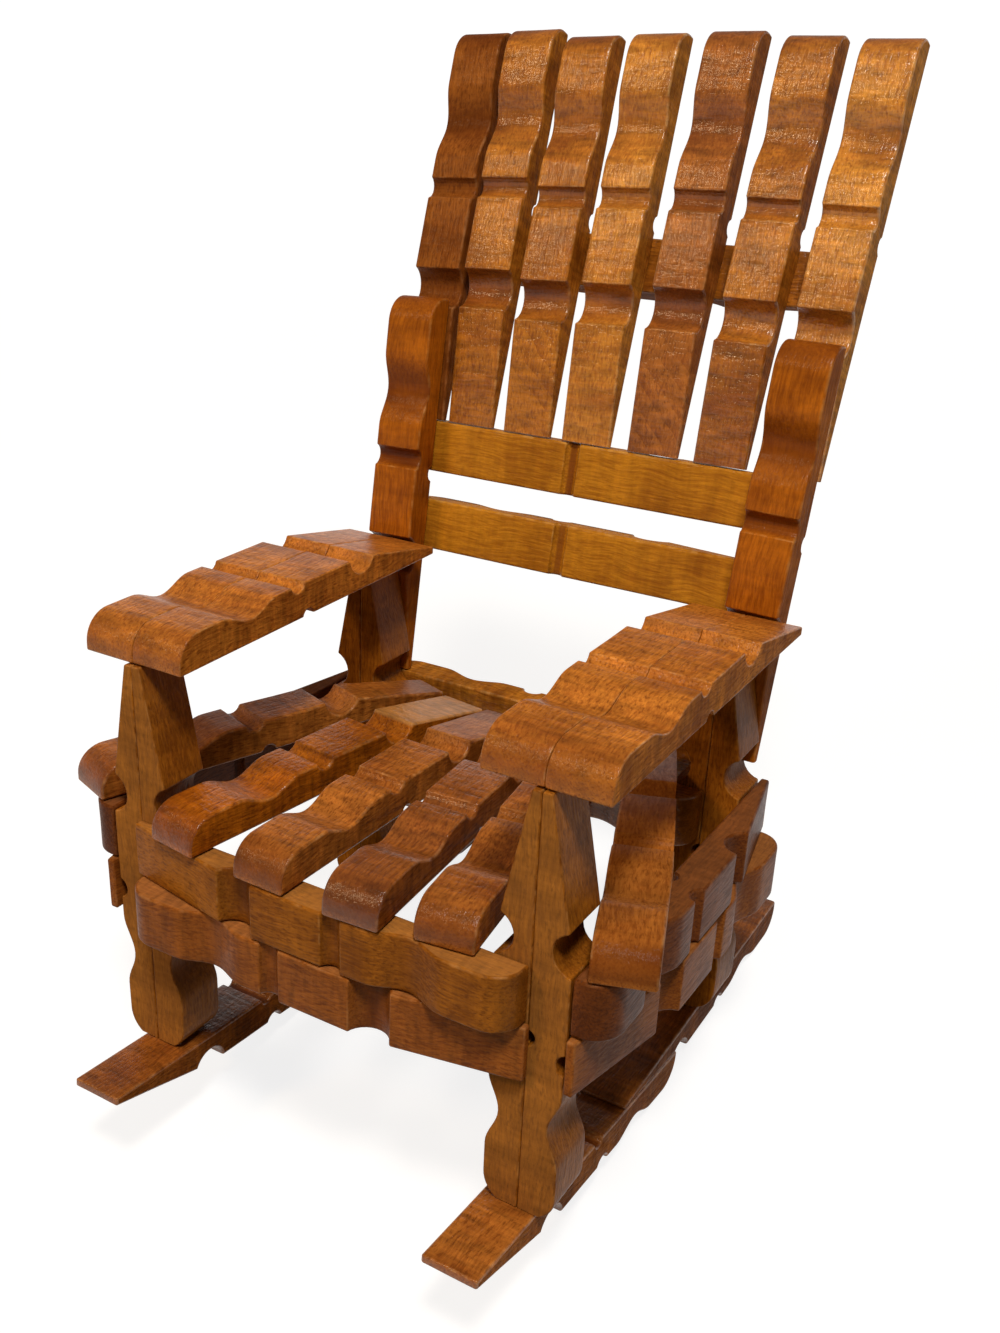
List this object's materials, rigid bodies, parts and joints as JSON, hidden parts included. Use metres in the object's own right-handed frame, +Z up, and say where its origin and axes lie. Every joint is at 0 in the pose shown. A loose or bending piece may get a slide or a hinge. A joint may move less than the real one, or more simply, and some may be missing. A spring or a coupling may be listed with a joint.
{
  "type": "miniature rocking chair",
  "caption": "Miniature rocking chair glued up from varnished wooden clothes-peg halves, with a fanned slat seat, a raked slat back, flat arms and lapped rockers.",
  "frame": {"origin": "on the floor under the middle of the chair's box, with the chair at rest on its rockers", "axes": "+Z up, +X to the right of someone facing the chair, the seat's front towards -Y"},
  "size_m": [0.1238, 0.1666, 0.1916],
  "materials": {
    "tan_stain": "stained and gloss varnished",
    "honey_stain": "stained and gloss varnished",
    "amber_stain": "stained and gloss varnished",
    "russet_stain": "stained and gloss varnished",
    "chestnut_stain": "stained and gloss varnished"
  },
  "bodies": {
    "root": {"arm_left_inner": "russet_stain", "arm_left_outer": "russet_stain", "arm_right_inner": "russet_stain", "arm_right_outer": "russet_stain", "back_leg_left_inner": "amber_stain", "back_leg_left_outer": "amber_stain", "back_leg_right_inner": "amber_stain", "back_leg_right_outer": "amber_stain", "back_rail_lower": "honey_stain", "back_rail_middle": "honey_stain", "back_rail_upper": "amber_stain", "back_slat_1": "honey_stain", "back_slat_2": "honey_stain", "back_slat_3": "honey_stain", "back_slat_4": "honey_stain", "back_slat_5": "honey_stain", "back_slat_6": "honey_stain", "back_slat_7": "honey_stain", "front_apron_lower": "russet_stain", "front_apron_upper": "tan_stain", "front_leg_left_inner": "amber_stain", "front_leg_left_outer": "amber_stain", "front_leg_right_inner": "amber_stain", "front_leg_right_outer": "amber_stain", "post_left": "amber_stain", "post_right": "amber_stain", "rear_rail_lower": "russet_stain", "rear_rail_upper": "amber_stain", "rocker_left_front": "russet_stain", "rocker_left_rear": "chestnut_stain", "rocker_right_front": "russet_stain", "rocker_right_rear": "chestnut_stain", "seat_bearer": "amber_stain", "seat_slat_1": "russet_stain", "seat_slat_2": "russet_stain", "seat_slat_3": "russet_stain", "seat_slat_4": "russet_stain", "seat_slat_5": "russet_stain", "seat_slat_6": "russet_stain", "side_rail_left_lower": "amber_stain", "side_rail_left_upper": "russet_stain", "side_rail_right_lower": "amber_stain", "side_rail_right_upper": "russet_stain"}
  },
  "joints": []
}
